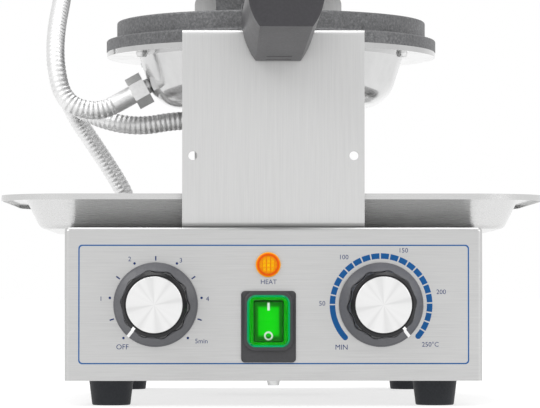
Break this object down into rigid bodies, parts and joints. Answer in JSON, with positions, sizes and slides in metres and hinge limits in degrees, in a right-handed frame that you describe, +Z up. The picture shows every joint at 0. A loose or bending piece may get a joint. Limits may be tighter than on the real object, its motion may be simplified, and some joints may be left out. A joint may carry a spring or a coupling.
{
  "type": "waffle cone maker",
  "caption": "Countertop waffle cone baker: round cast irons on a turning axle with a hinged lid, over a steel control box and a lift-off drip tray.",
  "frame": {"origin": "centre of the overall box in X and Y, on the worktop under the four rubber feet", "axes": "+Z up; the control panel and the lower handle face -Y; +X is to the operator's right"},
  "size_m": [0.35, 0.51, 0.649],
  "materials": {
    "brushed_steel": "brushed stainless sheet",
    "polished_steel": "polished stainless sheet",
    "cast_plate": "sand-cast, dark coated",
    "bakelite": "moulded satin",
    "knob_plastic": "satin",
    "knob_cap": "spun",
    "rubber": "matt",
    "steel_hardware": "plain turned",
    "black_plastic": "matt",
    "amber_lens": "moulded lens",
    "green_lens": "clear tinted",
    "clear_cover": "clear tinted",
    "blue_ink": "screen print",
    "white_ink": "pad print",
    "gasket_fibre": "pressed fibre",
    "heater_sheath": "dark annealed",
    "conduit_steel": "ribbed flexible",
    "cream_plastic": "matt"
  },
  "bodies": {
    "base": {"base_housing": "brushed_steel", "bottom_plate": "brushed_steel", "housing_screws": "steel_hardware", "foot_front_left": "rubber", "foot_front_right": "rubber", "foot_rear_left": "rubber", "foot_rear_right": "rubber", "foot_screws": "steel_hardware", "front_bracket": "brushed_steel", "rear_bracket": "brushed_steel", "bracket_screws": "steel_hardware", "turn_bearing": "steel_hardware", "bearing_bolts": "steel_hardware", "timer_unit": "black_plastic", "thermostat_unit": "steel_hardware", "lamp_body": "black_plastic", "lamp_lens": "amber_lens", "switch_frame": "black_plastic", "switch_body": "black_plastic", "switch_cover": "clear_cover", "cable_gland": "black_plastic", "terminal_block": "cream_plastic", "supply_gland": "polished_steel", "supply_conduit": "conduit_steel"},
    "timer": {"timer_knob": "knob_plastic", "timer_knob_cap": "knob_cap", "timer_spindle": "steel_hardware"},
    "thermostat": {"thermostat_knob": "knob_plastic", "thermostat_knob_cap": "knob_cap", "thermostat_spindle": "steel_hardware"},
    "rocker": {"rocker_button": "green_lens"},
    "tray": {"drip_tray": "brushed_steel"},
    "iron": {"lower_plate": "cast_plate", "lower_handle": "bakelite", "lower_handle_screws": "steel_hardware", "lower_dome": "polished_steel", "lower_gasket": "gasket_fibre", "lower_dome_screws": "steel_hardware", "lower_element": "heater_sheath", "lower_element_clamp": "steel_hardware", "lower_dome_fitting": "polished_steel", "thermostat_bulb": "steel_hardware", "hinge_block": "cast_plate", "hinge_bolts": "steel_hardware", "hinge_pin": "steel_hardware", "turn_shaft": "steel_hardware", "shaft_collar": "steel_hardware", "supply_elbow": "polished_steel", "lid_conduit": "conduit_steel"},
    "lid": {"lid_plate": "cast_plate", "lid_handle": "bakelite", "lid_handle_screws": "steel_hardware", "lid_dome": "polished_steel", "lid_gasket": "gasket_fibre", "lid_dome_screws": "steel_hardware", "lid_element": "heater_sheath", "lid_element_clamp": "steel_hardware", "lid_knuckle_block": "cast_plate", "lid_hinge_screws": "steel_hardware", "lid_dome_fitting": "polished_steel"}
  },
  "joints": [
    {"name": "timer_turn", "type": "hinge", "parent": "base", "child": "timer", "pos_m": [-0.0733, -0.143, 0.0632], "axis": [0, 1, 0], "range_deg": [0, 272]},
    {"name": "thermostat_turn", "type": "hinge", "parent": "base", "child": "thermostat", "pos_m": [0.0668, -0.143, 0.0632], "axis": [0, 1, 0], "range_deg": [-272, 0]},
    {"name": "switch_rock", "type": "hinge", "parent": "base", "child": "rocker", "pos_m": [-0.0032, -0.142, 0.053], "axis": [1, 0, 0], "range_deg": [-14, 0]},
    {"name": "tray_slide", "type": "slide", "parent": "base", "child": "tray", "axis": [1, 0, 0], "range_m": [0, 0.16]},
    {"name": "iron_turn", "type": "hinge", "parent": "base", "child": "iron", "pos_m": [0, 0.2, 0.252], "axis": [0, 1, 0], "range_deg": [0, 90], "deforming": ["supply_conduit"]},
    {"name": "lid_hinge", "type": "hinge", "parent": "iron", "child": "lid", "pos_m": [0, 0.142, 0.252], "axis": [1, 0, 0], "range_deg": [0, 90], "deforming": ["lid_conduit"]}
  ]
}
